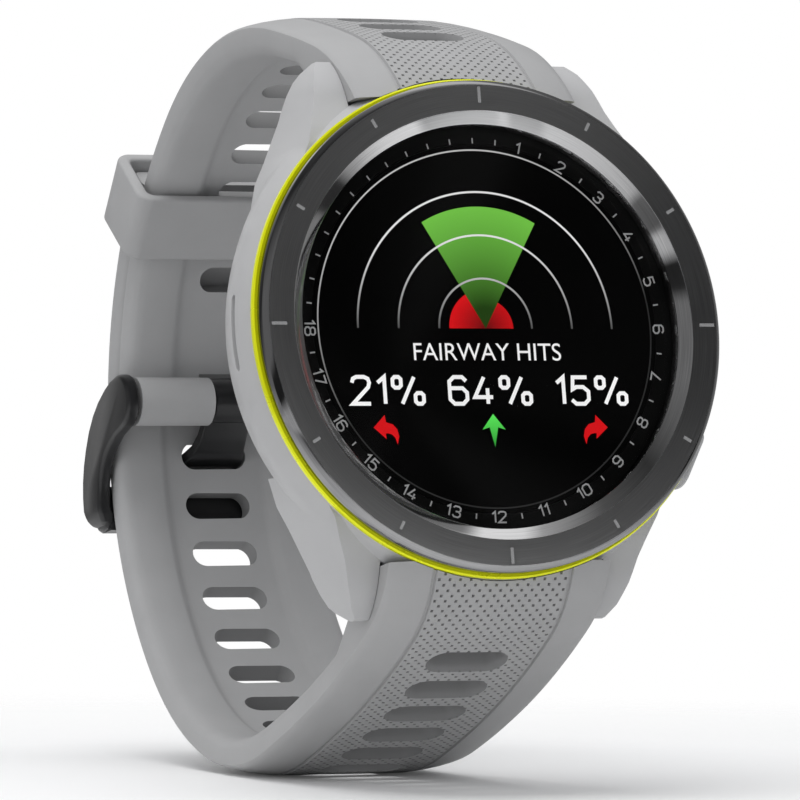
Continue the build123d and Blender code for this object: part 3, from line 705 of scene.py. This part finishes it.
def slab(name, outline, low, high, edge):
    """A plate cut from a side-view outline, between two distances across the watch, with round edges."""
    deselect()
    bpy.ops.mesh.primitive_circle_add(vertices=len(outline), radius=1, fill_type="NGON")
    plate = bpy.context.object
    plate.name = name
    for point, (depth, height) in zip(plate.data.vertices, outline):
        point.co = Vector((depth, height, low))
    bpy.ops.object.mode_set(mode="EDIT")
    bpy.ops.mesh.select_all(action="SELECT")
    bpy.ops.mesh.extrude_region_move(TRANSFORM_OT_translate={"value": (0, 0, high - low)})
    bpy.ops.mesh.select_all(action="SELECT")
    bpy.ops.mesh.normals_make_consistent(inside=False)
    bpy.ops.mesh.select_mode(type="EDGE")
    spots = plate.data.vertices
    pick(plate, lambda e: spots[e.vertices[0]].co.z == spots[e.vertices[1]].co.z, "edges")
    bpy.ops.mesh.bevel(offset=edge, segments=4, affect="EDGES", clamp_overlap=True)
    for level in range(11):
        bpy.ops.mesh.select_all(action="SELECT")
        bpy.ops.mesh.bisect(plane_co=(0, CORNER_TOP - 0.28 * level, 0), plane_no=(0, 1, 0))
    bpy.ops.object.mode_set(mode="OBJECT")
    return plate


def round_corner(point):
    """Round the buckle's two lower corners as seen from behind, and put it in place."""
    depth, height, x = point
    out = max(abs(x) - (BUCKLE_HALF - CORNER), 0)
    down = max(CORNER_TOP - height, 0)
    if out and down:
        shrink = max(out, down) / hypot(out, down)
        x += (shrink - 1) * out * (1 if x > 0 else -1)
        height -= (shrink - 1) * down
    return place(x, depth, height)


EYE_R = 2.65
EYE_TURNS = [radians(degrees) for degrees in range(75, 266, 12)]
ARM = [(BUCKLE_PIN[0] + EYE_R * cos(turn), BUCKLE_PIN[1] + EYE_R * sin(turn)) for turn in EYE_TURNS]
ARM += [(64.4, 0.95), (65.9, 0.35), (67.4, -0.5), (68.5, -1.6), (69.2, -2.9), (69.6, -4.4), (69.8, -5.9),
        (70.1, -7.1), (70.8, -7.75), (71.9, -7.9), (72.6, -7.85), (73.2, -7.3), (73.65, -6.3), (73.9, -5.1),
        (73.9, -3.8), (73.65, -2.2), (73.1, -0.6), (72.3, 0.9), (71.2, 2.5), (69.8, 3.9), (68.2, 5.0),
        (66.4, 5.85), (64.9, 6.35)]
BAR = [(70.7, -3.1), (70.6, -4.4), (70.44, -5.9), (70.25, -7.2), (70.15, -7.9), (71.9, -7.9), (72.6, -7.85),
       (73.2, -7.3), (73.65, -6.3), (73.9, -5.1), (73.9, -4.2), (73.5, -3.5), (72.3, -3.2)]
buckle = join([
    slab("near_arm", ARM, -BUCKLE_HALF, -10.62, 0.42), slab("far_arm", ARM, 10.62, BUCKLE_HALF, 0.42),
    slab("bar", BAR, -10.9, 10.9, 0.1),
])
buckle.name = "buckle_loop"
edit_points(buckle, round_corner)
face_outward(buckle)
smooth(buckle, 35)
settle(buckle, "buckle_frame", "buckle_frame", coat)

# Depth, height and half width along the tongue.
TONGUE = [(62.9, 4.0, 2.35), (64.6, 2.3, 2.35), (66.0, 0.95, 2.4), (67.2, 0.05, 2.6), (68.3, -0.45, 2.95),
          (69.3, -0.75, 3.15), (70.4, -1.0, 3.2), (71.4, -1.45, 3.2), (72.3, -2.05, 3.2), (73.1, -2.6, 3.1)]
TONGUE_THICK = 1.05
TONGUE_STEPS = 36
deselect()
bpy.ops.mesh.primitive_cube_add(size=1)
tongue = bpy.context.object
tongue.name = "buckle_prong"
bpy.ops.object.mode_set(mode="EDIT")
bpy.ops.mesh.select_all(action="SELECT")
bpy.ops.mesh.bevel(offset=0.06, segments=3, affect="EDGES")
for step in range(1, TONGUE_STEPS):
    bpy.ops.mesh.select_all(action="SELECT")
    bpy.ops.mesh.bisect(plane_co=(step / TONGUE_STEPS - 0.5, 0, 0), plane_no=(1, 0, 0))
bpy.ops.object.mode_set(mode="OBJECT")


def on_tongue(point):
    """Bend the unit block along the tongue's line, with its changing width."""
    at = (point.x + 0.5) * (len(TONGUE) - 1)
    index = min(int(at), len(TONGUE) - 2)
    part = at - index
    first, second = Vector(TONGUE[index]), Vector(TONGUE[index + 1])
    spot = first.lerp(second, part)
    before = Vector(TONGUE[max(index - 1, 0)])
    after = Vector(TONGUE[min(index + 2, len(TONGUE) - 1)])
    way = (second - before).lerp(after - first, part)
    side = Vector((-way.y, way.x)).normalized() * point.z * TONGUE_THICK
    return place(point.y * 2 * spot.z, spot.x + side.x, spot.y + side.y)


edit_points(tongue, on_tongue)
carve(tongue, row_rod("tongue_eye", 2.35, *BUCKLE_PIN, 2.08), "UNION")
smooth(tongue, 35)
settle(tongue, "buckle_tongue", "buckle_tongue", coat)
pin_steel = mottled(
    "pin_steel", (0.42, 0.42, 0.43), (0.55, 0.55, 0.56), (0.25, 0.4), 500, 5000, 0.000003, Metallic=1.0
)
for node in ("buckle_pin", "upper_lug_pin", "lower_lug_pin"):
    dress(node, pin_steel)

# ---- case -------------------------------------------------------------------------------
# Moulded fibre-filled plastic with lugs for the strap, a fine matt grain and a vent slot in
# its left flank.

case_plastic = mottled(
    "case_plastic", (0.46, 0.46, 0.465), (0.52, 0.52, 0.525), (0.38, 0.5), 300, 7000, 0.000004,
    Specular_IOR_Level=0.45,
)
settle(remodel("case_shell", "case_body", 0.22), "watch", "case_shell", case_plastic)

# ---- accent ring ------------------------------------------------------------------------
# An anodised yellow-green metal ring. It is pinched between the bezel and the case, with only
# its edge showing.

accent = mottled(
    "accent_enamel", (0.86, 0.92, 0.002), (0.96, 0.99, 0.004), (0.22, 0.34), 300, 5000, 0.000003,
    Metallic=0.35,
)
dress("accent_ring", accent)

# ---- bezel ------------------------------------------------------------------------------
# Turned steel with a dark coat: a brushed flat face, a polished slope down to the glass, a
# polished outer corner, and twelve milled marks filled with pale enamel.

BEZEL = [(18.56, 2.1), (18.56, 0.86), (18.6, 0.76), (18.68, 0.69), (19.56, 0.10), (19.64, 0.04), (19.72, 0.0),
         (22.05, 0.0), (22.17, 0.03), (22.27, 0.11), (22.56, 0.42), (22.6, 0.52), (22.6, 1.62), (22.55, 1.7),
         (20.0, 1.7), (19.0, 2.1)]


def dial_frame(made):
    """Signals for the distance across, up and out from the dial's centre, in millimetres."""
    centred = made.add("VectorMath", {"operation": "SUBTRACT"}, 0, input0=made.where, input1=DIAL * MM)
    across, up = [
        made.add("VectorMath", {"operation": "DOT_PRODUCT"}, 1, input0=centred, input1=axis) * 1000
        for axis in (Vector((1, 0, 0)), Vector((0, sin(LEAN), cos(LEAN))))
    ]
    return across, up, (across * across + up * up).math("SQRT")


MARK_R = 21.17
MARK_HALF_WIDE = 0.16
MARK_DEEP = 0.12
bezel = turned("bezel_ring", BEZEL)
marks = []
for hour in range(12):
    deselect()
    bpy.ops.mesh.primitive_cube_add(size=2)
    mark = bpy.context.object
    angle = radians(30 * hour)
    half_long = (1.5 if hour % 3 == 0 else 0.85) / 2
    for point in mark.data.vertices:
        side = MARK_HALF_WIDE * point.co.x
        out = MARK_R + half_long * point.co.y
        depth = MARK_DEEP * point.co.z
        point.co = place(out * sin(angle) + side * cos(angle), depth, out * cos(angle) - side * sin(angle))
    marks.append(mark)
marks = join(marks)
face_outward(marks)
carve(bezel, marks)
smooth(bezel, 25)
brushed = Finish("bezel_steel", Metallic=1.0)
across, up, out = dial_frame(brushed)
turning = up.math("ARCTAN2", across)
streak_place = brushed.add("CombineXYZ", None, 0, X=out * 14.0, Y=turning * 3.0, Z=0.0)
streaks = brushed.add("TexNoise", None, 0, Vector=streak_place, Scale=1.0, Detail=4.0)
sweep = brushed.noise(120, 2.0)
flat_face = brushed.add("MapRange", None, 0, Value=out, From_Min=19.62, From_Max=19.74)
outer_edge = brushed.add("MapRange", None, 0, Value=out, From_Min=22.05, From_Max=22.15)
face = flat_face * (1 - outer_edge)
steepness = up.math("DIVIDE", out)
# Painted sheen: the steel's colour is lighter toward the top and bottom of the ring and darker toward its
# right, standing in for the brushed metal's highlights.
sheen_round = steepness * steepness * 0.5 + across.math("DIVIDE", out) * -0.14
# The streaks and sweep are the brushing's own grain. Painted shade darkens the polished outer corner, standing
# in for a dark reflection there.
bezel_brushing_and_painted_light = streaks * 0.5 + sweep * 0.1 + sheen_round - outer_edge * 0.5
brushed.set(
    Base_Color=brushed.shades(bezel_brushing_and_painted_light, (0.22, 0.22, 0.225), (0.80, 0.80, 0.805)),
    Roughness=face * 0.26 + streaks * face * 0.1 + 0.05,
)
brushed.bump(streaks * face, 0.00002, 0.8)
settle(bezel, "watch", "bezel", brushed.material)
dress("bezel_indices", mottled("index_fill", (0.3,) * 3, (0.36,) * 3, (0.4, 0.5), 900, 9000, 0.000002))
dress("bezel_seal", mottled("seal_rubber", (0.012,) * 3, (0.02,) * 3, (0.6, 0.7), 500, 8000, 0.000003))

# ---- glass and display ------------------------------------------------------------------
# A flat chemically strengthened glass over a round panel, with the hole numbers printed on a
# black ring round the edge. The panel shows where tee shots ended.

glass = Finish("cover_glass")
clear_glass = glass.add("BsdfTransparent")
sheen = glass.add("BsdfGlossy", None, 0, Color=(1, 1, 1, 1), Roughness=0.03)
edge_on = glass.add("Fresnel", None, 0, IOR=1.45)
specks = glass.noise(60, 2.0)
glassy = glass.add(
    "MixShader", None, 0, input0=edge_on * (specks * 0.1 + 0.3), input1=clear_glass, input2=sheen
)
glass_out = glass.tree.nodes["Material Output"]
glass.tree.links.new(glassy.socket, glass_out.inputs[0])
dress("crystal", glass.material)
ring_black = mottled(
    "dial_print", (0.002,) * 3, (0.004,) * 3, (0.4, 0.5), 300, 5000, 0.000001, Specular_IOR_Level=0.1
)
dress("dial_ring", ring_black)
panel_black = mottled(
    "panel_black", (0.0005,) * 3, (0.0012,) * 3, (0.3, 0.4), 300, 5000, 0.000001, Specular_IOR_Level=0.05
)
dress("display_panel", panel_black)

# Depths of the print and the lit shapes, just behind the glass.
PRINT = 2.235
LIT = 2.227
SECTOR = 2.223
ARCS = 2.219


def lay(piece, depth, turn=0.0, across=0.0, up=0.0):
    """Turn a flat drawing clockwise, move it on the dial and stand it at a depth."""
    angle = radians(turn)
    for point in piece.data.vertices:
        x = point.co.x * cos(angle) + point.co.y * sin(angle) + across
        z = point.co.y * cos(angle) - point.co.x * sin(angle) + up
        point.co = place(x, depth, z)
    piece.data.update()


def letters(words, wide, tall, up):
    """Flat lettering of a given width and height, centred across the dial."""
    deselect()
    bpy.ops.object.text_add()
    text = bpy.context.object
    text.data.body = words
    bpy.ops.object.convert(target="MESH")
    text = bpy.context.object
    spots = [point.co for point in text.data.vertices]
    low_x, high_x = min(p.x for p in spots), max(p.x for p in spots)
    low_y, high_y = min(p.y for p in spots), max(p.y for p in spots)
    grow_x, grow_y = wide / (high_x - low_x), tall / (high_y - low_y)
    for point in text.data.vertices:
        point.co = Vector(
            ((point.co.x - (low_x + high_x) / 2) * grow_x, (point.co.y - (low_y + high_y) / 2) * grow_y, 0)
        )
    lay(text, LIT, up=up)
    return text


# Strokes of each figure on a grid four wide and six tall.
GLYPHS = {
    "0": [[(1, 0), (3, 0), (4, 1), (4, 5), (3, 6), (1, 6), (0, 5), (0, 1), (1, 0)]],
    "1": [[(0, 4.7), (1.6, 6), (1.6, 0)]],
    "2": [[(0, 4.7), (0.3, 5.6), (1.1, 6), (2.8, 6), (3.7, 5.6), (4, 4.7), (3.7, 3.7), (0, 0), (4.1, 0)]],
    "3": [[(0, 5), (0.9, 6), (3, 6), (3.9, 5.2), (3.9, 3.9), (3, 3.1), (1.4, 3.1)],
          [(3, 3.1), (4, 2.2), (4, 0.9), (3, 0), (0.9, 0), (0, 1)]],
    "4": [[(4.2, 1.5), (0, 1.5), (2.3, 6)], [(3, 3.5), (3, 0)]],
    "5": [[(3.8, 6), (0.5, 6), (0.3, 3.3), (1.2, 3.8), (2.8, 3.8), (4, 2.8), (4, 1), (3, 0), (1, 0), (0, 0.9)]],
    "6": [[(3.9, 5.1), (3, 6), (1.1, 6), (0, 5), (0, 1), (1, 0), (3, 0), (4, 1), (4, 2.5), (3, 3.5), (0, 3.5)]],
    "7": [[(0, 6), (4, 6), (1.4, 0)]],
    "8": [[(1, 3.2), (0.2, 4.1), (0.2, 5.2), (1, 6), (3, 6), (3.8, 5.2), (3.8, 4.1), (3, 3.2), (1, 3.2)],
          [(1, 3.2), (0, 2.3), (0, 0.9), (1, 0), (3, 0), (4, 0.9), (4, 2.3), (3, 3.2)]],
    "9": [[(0.1, 0.9), (1, 0), (2.9, 0), (4, 1), (4, 5), (3, 6), (1, 6), (0, 5), (0, 3.5), (1, 2.5), (4, 2.5)]],
    "%": [[(5.1, 6), (2.1, 0)],
          [(0.6, 3.6), (1.5, 3.6), (2, 4.1), (2, 5.5), (1.5, 6), (0.6, 6), (0.1, 5.5), (0.1, 4.1), (0.6, 3.6)],
          [(5.7, 0), (6.6, 0), (7.1, 0.5), (7.1, 1.9), (6.6, 2.4), (5.7, 2.4), (5.2, 1.9), (5.2, 0.5),
           (5.7, 0)]],
}


def ribbon(points, weight):
    """A flat line of even thickness through points, with mitred corners."""
    deselect()
    count = len(points) - 1
    bpy.ops.mesh.primitive_grid_add(x_subdivisions=count, y_subdivisions=1, size=1)
    line = bpy.context.object
    closed = points[0] == points[-1]
    spots = [Vector(p) for p in points]
    ways = [(b - a).normalized() for a, b in zip(spots, spots[1:])]
    for vertex in line.data.vertices:
        index = round((vertex.co.x + 0.5) * count)
        before = ways[index - 1] if index or closed else ways[0]
        after = ways[index % count] if index < count or closed else ways[-1]
        corner = Vector((-before.y - after.y, before.x + after.x))
        corner /= corner.dot(Vector((-after.y, after.x)))
        spot = spots[index] + corner * (weight / 2 if vertex.co.y > 0 else -weight / 2)
        vertex.co = Vector((spot.x, spot.y, 0))
    return line


LETTER_GAP = 1.8


def figures(text, tall, stretch, weight, depth, turn, across, up):
    """Numbers drawn with strokes, centred on a spot."""
    strokes = []
    pen = 0.0
    for letter in text:
        right = max(x for stroke in GLYPHS[letter] for x, y in stroke)
        for stroke in GLYPHS[letter]:
            strokes.append([((pen + x) * stretch * tall / 6, (y - 3) * tall / 6) for x, y in stroke])
        pen += right + LETTER_GAP
    middle = (pen - LETTER_GAP) / 2 * stretch * tall / 6
    drawn = join([ribbon([(x - middle, y) for x, y in stroke], weight) for stroke in strokes])
    lay(drawn, depth, turn, across, up)
    return drawn


def polar(name, depth, inner, outer, first, last):
    """A flat piece of a ring between two radii and two clockwise angles from the top."""
    deselect()
    steps = max(2, round((last - first) / 1.5))
    bpy.ops.mesh.primitive_grid_add(x_subdivisions=steps, y_subdivisions=1, size=1)
    made = bpy.context.object
    made.name = name
    for point in made.data.vertices:
        angle = radians(first + (point.co.x + 0.5) * (last - first))
        radius = outer if point.co.y > 0 else inner
        point.co = Vector((radius * sin(angle), radius * cos(angle), 0))
    lay(made, depth)
    return made


def polygon(name, points, across):
    """A lit flat outline in the row of arrows."""
    deselect()
    bpy.ops.mesh.primitive_circle_add(vertices=len(points), radius=1, fill_type="NGON")
    made = bpy.context.object
    made.name = name
    for point, (x, y) in zip(made.data.vertices, points):
        point.co = Vector((x, y, 0))
    lay(made, LIT, across=across, up=ARROW_ROW)
    return made


def lit_finish(name, dark, light, along_signal):
    """A glowing colour that changes with a signal over the dial."""
    made = Finish(name, Base_Color=(0.0, 0.0, 0.0, 1), Roughness=0.5, Emission_Strength=1.0)
    across, up, out = dial_frame(made)
    factor = along_signal(across, up, out)
    grid = (across * 40).math("SINE") * 0.01
    made.set(Emission_Color=made.shades((factor + grid).math("MINIMUM", 1.0), dark, light))
    return made.material


def ride_drawing(piece, name, material):
    """Put a drawing on the watch with its finish."""
    piece.name = name
    piece.data.materials.clear()
    piece.data.materials.append(material)
    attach(piece, "watch")


NUMBER_R = 17.3
ring_print = []
for hole in range(1, 19):
    angle = radians(15 * hole)
    turn = 15 * hole + (180 if hole > 6 else 0)
    across, up = NUMBER_R * sin(angle), NUMBER_R * cos(angle)
    ring_print.append(figures(str(hole), 0.98, 1.12, 0.15, PRINT, turn, across, up))
# Ticks stand between the numbers, then run on past the last one.
TICKS = [22.5 + 15 * n for n in range(17)] + [277.5 + 7.5 * n for n in range(13)]
for turn in TICKS:
    ring_print.append(polar("tick", PRINT, 17.1, 17.6, turn - 0.22, turn + 0.22))
print_ink = mottled("dial_ink", (0.5,) * 3, (0.56,) * 3, (0.4, 0.5), 900, 9000, 0.000001)
ride_drawing(join(ring_print), "hole_numbers", print_ink)

white_lines = lit_finish(
    "screen_lines", (0.0, 0.0, 0.0), (0.75, 0.75, 0.75),
    lambda across, up, out: (up * 0.11 + 0.1).math("MAXIMUM", 0.02),
)
edge_line = lit_finish(
    "screen_edge", (0.01, 0.01, 0.01), (0.5, 0.5, 0.5),
    lambda across, up, out: (up * 0.05 - across * 0.02 + 0.2).math("MAXIMUM", 0.02),
)
ride_drawing(polar("edge", PRINT, 16.42, 16.56, 0, 360), "screen_edge", edge_line)

green = lit_finish(
    "screen_green", (0.010, 0.040, 0.002), (0.16, 0.52, 0.06),
    lambda across, up, out: (out * 0.105 - 0.2).math("MAXIMUM", 0.0),
)
red = lit_finish(
    "screen_red", (0.10, 0.0, 0.001), (0.62, 0.003, 0.006),
    lambda across, up, out: (out * 0.3).math("MINIMUM", 1.0),
)
ride_drawing(polar("sector", SECTOR, 0.0, 11.25, -30, 30), "screen_sector", green)
arcs = [polar("arc", ARCS, radius - 0.09, radius + 0.09, -90, 90) for radius in (12.6, 8.6, 4.6)]
ride_drawing(join(arcs), "screen_arcs", white_lines)
ARROW_ROW = -9.3
reds = [polar("left_red", LIT, 0.0, 3.6, -90, -24), polar("right_red", LIT, 0.0, 2.75, 24, 90)]
TURN_ARROW = [(-1.25, 0.2), (-0.1, 1.35), (0.0, 0.68), (0.65, 0.5), (1.05, 0.05), (1.2, -0.6), (1.0, -1.35),
              (0.82, -0.75), (0.5, -0.42), (0.1, -0.32), (-0.1, -0.35), (-0.05, -0.85)]
reds.append(polygon("left_arrow", TURN_ARROW, -10.5))
reds.append(polygon("right_arrow", [(-x, y) for x, y in TURN_ARROW], 10.2))
ride_drawing(join(reds), "screen_misses", red)
UP_ARROW = [(0, 1.45), (1.15, 0.0), (0.42, 0.22), (0, -1.6), (-0.42, 0.22), (-1.15, 0.0)]
bright_green = lit_finish(
    "screen_bright_green", (0.02, 0.30, 0.03), (0.10, 0.75, 0.10),
    lambda across, up, out: (up * 0.35 + 3.8).math("MAXIMUM", 0.0),
)
ride_drawing(polygon("arrow", UP_ARROW, 0.1), "screen_hit_arrow", bright_green)
SHARES = {"21%": -10.1, "64%": 0, "15%": 10.1}
words = [figures(text, 2.45, 1.04, 0.36, LIT, 0, across, -5.7) for text, across in SHARES.items()]
words.append(letters("FAIRWAY HITS", 14.6, 1.6, -2.15))
white_words = lit_finish(
    "screen_white", (0.8, 0.8, 0.8), (0.95, 0.95, 0.95), lambda across, up, out: out * 0.05
)
ride_drawing(join(words), "screen_figures", white_words)

# ---- buttons ----------------------------------------------------------------------------
# Three moulded plastic push buttons on the right flank. Each slides on a sprung stem and is
# held by a steel clip inside.

for spot_name in ("upper", "middle", "lower"):
    button = f"{spot_name}_button"
    settle(remodel(button, f"{button}_cap", 0.2), button, button, case_plastic)
    dress(f"{button}_clip", pin_steel)

# ---- back, inside and latches -----------------------------------------------------------
# A screwed-down plastic cover with a sensor window, gold charging pads and a seal. The boards,
# cell and frames sit inside it, and a sprung plastic latch holds each strap's pin.

inner_plastic = mottled("inner_plastic", (0.02,) * 3, (0.035,) * 3, (0.45, 0.6), 300, 6000, 0.000004)
for node in ("inner_frame", "antenna_ring", "vent_mesh"):
    dress(node, inner_plastic)
dress("back_cover", case_plastic)
dress("back_seal", mottled("back_rubber", (0.015,) * 3, (0.025,) * 3, (0.6, 0.7), 500, 8000, 0.000003))
dress("back_screws", pin_steel)
gold = mottled(
    "contact_gold", (0.75, 0.50, 0.16), (0.9, 0.62, 0.22), (0.2, 0.35), 500, 5000, 0.000002, Metallic=1.0
)
dress("charge_contacts", gold)
dress(
    "sensor_window",
    mottled("sensor_glass", (0.005,) * 3, (0.01,) * 3, (0.05, 0.1), 300, 3000, 0.000001, Coat_Weight=1.0),
)
board = mottled("circuit_board", (0.005, 0.05, 0.02), (0.01, 0.09, 0.035), (0.35, 0.5), 900, 3000, 0.000004)
for node in ("main_board", "sensor_board", "button_switches"):
    dress(node, board)
foil = mottled("cell_foil", (0.5, 0.5, 0.51), (0.62, 0.62, 0.63), (0.3, 0.5), 300, 2500, 0.00001, Metallic=1.0)
dress("battery", foil)
dress("vibration_motor", pin_steel)
latch = mottled("latch_plastic", (0.30,) * 3, (0.36,) * 3, (0.4, 0.55), 300, 6000, 0.000004)
SPRING_FAR = (10.35, 26.75)  # depth and height of the springs' fixed ends
for side in ("upper", "lower"):
    tab = f"{side}_latch"
    settle(remodel(tab, f"{tab}_tab", 0.1), tab, tab, latch)
    springs = remodel(f"{tab}_springs", f"{tab}_coils", 0.03)
    settle(springs, "watch", f"{tab}_springs", pin_steel)
    outward = 1 if side == "upper" else -1
    far_end = place(0, SPRING_FAR[0], outward * SPRING_FAR[1])
    way = (place(0, SPRING_FAR[0], outward * (SPRING_FAR[1] + 1)) - far_end).normalized()
    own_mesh(springs)
